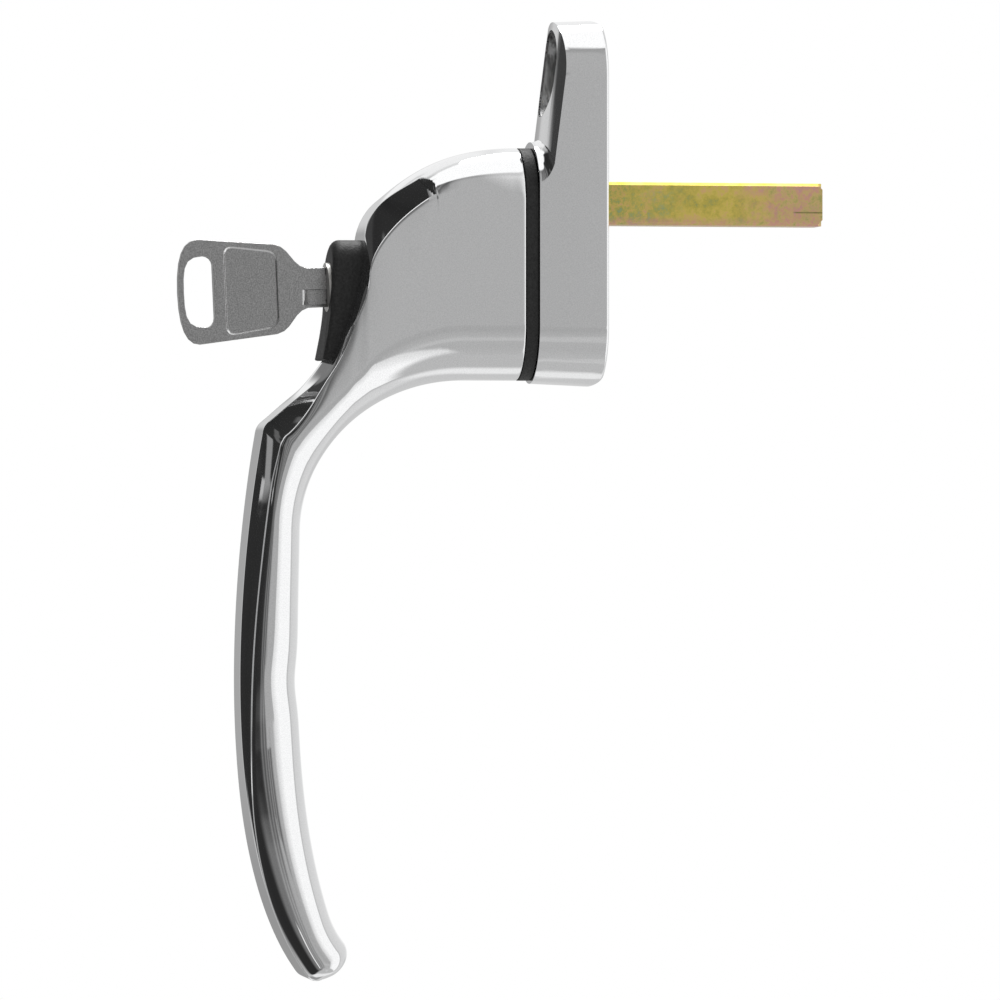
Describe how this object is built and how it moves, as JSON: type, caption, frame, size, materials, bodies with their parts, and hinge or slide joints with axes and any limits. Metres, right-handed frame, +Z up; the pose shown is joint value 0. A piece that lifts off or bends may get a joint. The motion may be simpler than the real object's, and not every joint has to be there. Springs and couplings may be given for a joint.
{
  "type": "espagnolette window handle",
  "caption": "Cranked chrome lever on an in-line base plate with a key lock and a square spindle, for turning a window's espagnolette gear.",
  "frame": {"origin": "on the spindle axis at the mounting face, midway between the fixing screws", "axes": "+Y along the spindle into the window sash, -Y towards the room, +Z up along the base plate, lever hanging towards -Z"},
  "size_m": [0.02, 0.1064, 0.1565],
  "materials": {
    "chrome_zinc": "polished chrome on die-cast zinc",
    "black_nylon": "satin black moulded nylon",
    "acetal": "natural acetal",
    "zinc_steel": "bright zinc plate",
    "spring_steel": "oiled spring steel",
    "yellow_passivated_steel": "yellow passivated zinc with a rainbow cast",
    "nickel": "satin nickel",
    "brass": "stamped brass",
    "key_steel": "satin nickel-plated steel"
  },
  "bodies": {
    "base": {"base_plate": "chrome_zinc", "pivot_bush": "acetal"},
    "lever": {"lever": "chrome_zinc", "bearing_plate": "black_nylon", "bearing_plate_screws": "zinc_steel", "spindle": "yellow_passivated_steel", "spindle_pin": "spring_steel", "wave_washer": "spring_steel", "thrust_washer": "zinc_steel", "retaining_circlip": "spring_steel", "lock_housing": "black_nylon", "housing_nut": "brass"},
    "plug": {"lock_plug": "nickel", "plug_clip": "spring_steel"},
    "wafer_stack": {"wafers": "brass", "wafer_springs": "spring_steel"},
    "locking_pin": {"lock_pin": "zinc_steel", "follower_stud": "nickel"},
    "key": {"key": "key_steel"}
  },
  "joints": [
    {"name": "handle_turn", "type": "hinge", "parent": "base", "child": "lever", "pos_m": [0, 0, 0], "axis": [0, 1, 0], "range_deg": [-90, 90]},
    {"name": "key_turn", "type": "hinge", "parent": "lever", "child": "plug", "pos_m": [0, -0.0448, -0.0139], "axis": [0, 0.999, 0.0436], "range_deg": [0, 90]},
    {"name": "pin_slide", "type": "slide", "parent": "lever", "child": "locking_pin", "axis": [0, 0.999, 0.0436], "range_m": [0, 0.004]},
    {"name": "key_withdraw", "type": "slide", "parent": "plug", "child": "key", "axis": [0, -0.999, -0.0436], "range_m": [0, 0.03]},
    {"name": "wafer_rise", "type": "slide", "parent": "plug", "child": "wafer_stack", "axis": [0, -0.0436, 0.999], "range_m": [0, 0.0007]}
  ],
  "couplings": [
    {"joint": "pin_slide", "follows": "key_turn", "m_per_rad": 0.002546},
    {"joint": "wafer_rise", "follows": "key_withdraw", "ratio": 0.0233}
  ]
}
